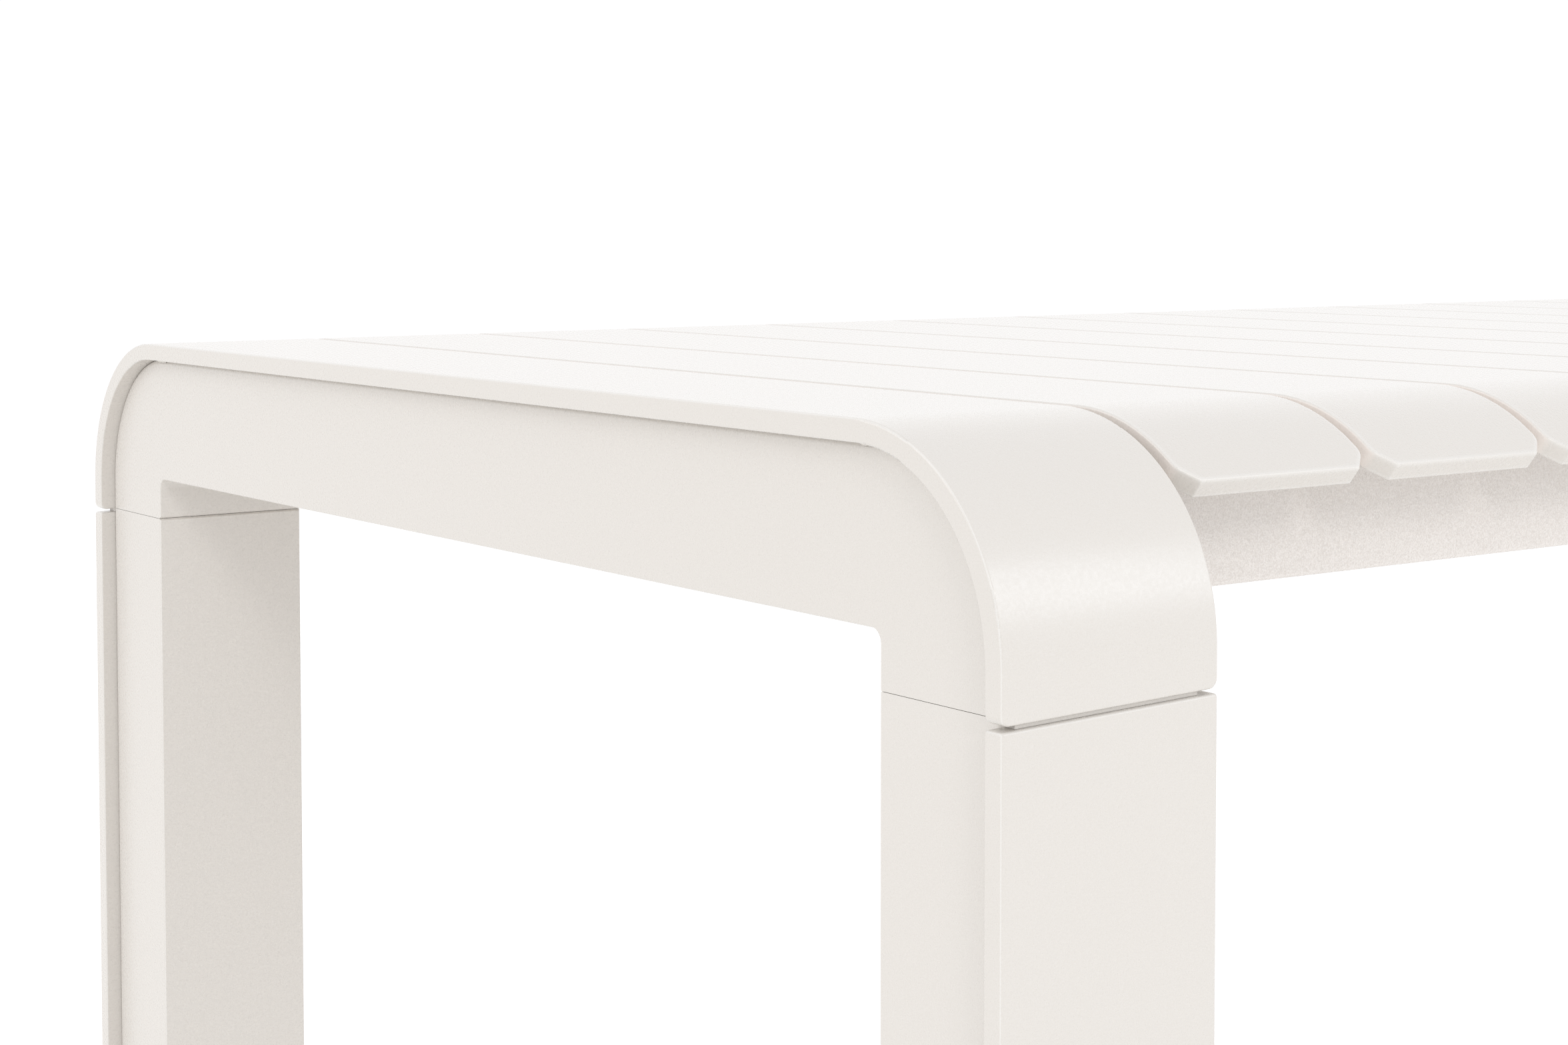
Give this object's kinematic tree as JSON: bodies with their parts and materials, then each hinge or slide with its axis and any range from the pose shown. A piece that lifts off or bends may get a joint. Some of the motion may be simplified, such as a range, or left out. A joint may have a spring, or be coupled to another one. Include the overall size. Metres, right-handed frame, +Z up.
{
  "type": "garden bench",
  "caption": "Backless slatted garden bench in powder-coated aluminium, with rounded inverted-U end frames, bent-down slat ends and bolted legs.",
  "frame": {"origin": "on the floor, under the middle of the seat", "axes": "+X along the bench, +Y to the back, +Z up"},
  "size_m": [1.295, 0.45, 0.45],
  "materials": {
    "powder_coat": "satin fine-grained powder coat, warm off-white",
    "stainless": "satin stainless steel",
    "foot_plastic": "matt moulded plastic"
  },
  "bodies": {
    "root": {"end_rail_left": "powder_coat", "end_rail_right": "powder_coat", "corner_front_left": "powder_coat", "leg_front_left": "powder_coat", "spigot_front_left": "powder_coat", "bolts_front_left": "stainless", "washers_front_left": "stainless", "foot_front_left": "foot_plastic", "corner_back_left": "powder_coat", "leg_back_left": "powder_coat", "spigot_back_left": "powder_coat", "bolts_back_left": "stainless", "washers_back_left": "stainless", "foot_back_left": "foot_plastic", "corner_front_right": "powder_coat", "leg_front_right": "powder_coat", "spigot_front_right": "powder_coat", "bolts_front_right": "stainless", "washers_front_right": "stainless", "foot_front_right": "foot_plastic", "corner_back_right": "powder_coat", "leg_back_right": "powder_coat", "spigot_back_right": "powder_coat", "bolts_back_right": "stainless", "washers_back_right": "stainless", "foot_back_right": "foot_plastic", "side_rail_front": "powder_coat", "weld_beads_front": "powder_coat", "side_rail_back": "powder_coat", "weld_beads_back": "powder_coat", "slat_01": "powder_coat", "slat_02": "powder_coat", "slat_03": "powder_coat", "slat_04": "powder_coat", "slat_05": "powder_coat", "slat_06": "powder_coat", "slat_07": "powder_coat", "slat_08": "powder_coat", "slat_09": "powder_coat", "slat_10": "powder_coat", "slat_11": "powder_coat", "slat_12": "powder_coat", "slat_13": "powder_coat", "slat_14": "powder_coat", "slat_15": "powder_coat", "slat_16": "powder_coat", "slat_17": "powder_coat", "slat_18": "powder_coat", "slat_19": "powder_coat", "slat_20": "powder_coat"}
  },
  "joints": []
}
